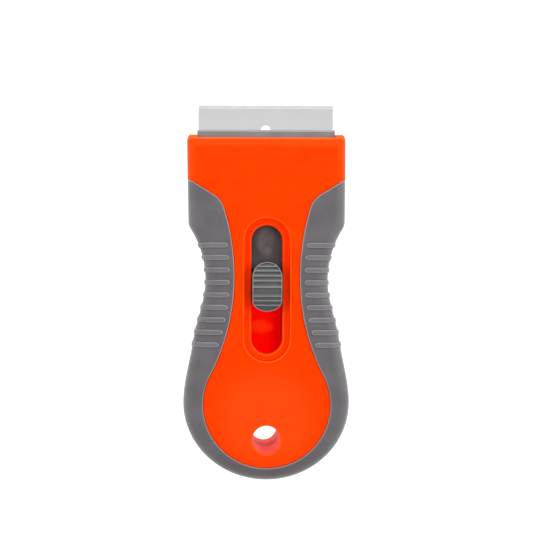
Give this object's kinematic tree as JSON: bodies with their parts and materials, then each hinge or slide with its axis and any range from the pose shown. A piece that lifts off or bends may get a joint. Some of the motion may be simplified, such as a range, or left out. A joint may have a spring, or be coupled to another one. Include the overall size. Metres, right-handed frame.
{
  "type": "razor blade scraper",
  "caption": "Hand scraper with a sliding single-edge razor blade, a two-part case with soft ribbed side grips, a thumb button that locks the blade carriage, and a hang hole.",
  "frame": {"origin": "under the middle of the tool's bounding box, on the surface that its back lies on", "axes": "+X across the tool, +Y along it towards the cutting edge, +Z from the back to the front face with the thumb button"},
  "size_m": [0.0466, 0.1066, 0.0187],
  "materials": {
    "case": "satin moulded plastic",
    "grip": "matt soft-touch",
    "screw": "plated",
    "carriage": "satin",
    "clamp": "satin",
    "blade": "ground",
    "spine": "rolled",
    "button": "satin",
    "spring": "bright"
  },
  "bodies": {
    "handle": {"front_shell": "case", "rear_shell": "case", "front_grip": "grip", "rear_grip": "grip", "case_screws": "screw"},
    "carriage": {"blade_carriage": "carriage", "blade_clamp": "clamp", "razor_blade": "blade", "blade_spine": "spine", "lock_spring": "spring"},
    "button": {"thumb_button": "button"}
  },
  "joints": [
    {"name": "carriage_slide", "type": "slide", "parent": "handle", "child": "carriage", "axis": [0, 1, 0], "range_m": [-0.0112, 0.01], "deforming": ["lock_spring"]},
    {"name": "button_press", "type": "slide", "parent": "carriage", "child": "button", "axis": [0, 0, -1], "range_m": [0, 0.001], "stiffness_N_per_m": 3000, "springref_m": -0.001, "deforming": ["lock_spring"]}
  ]
}
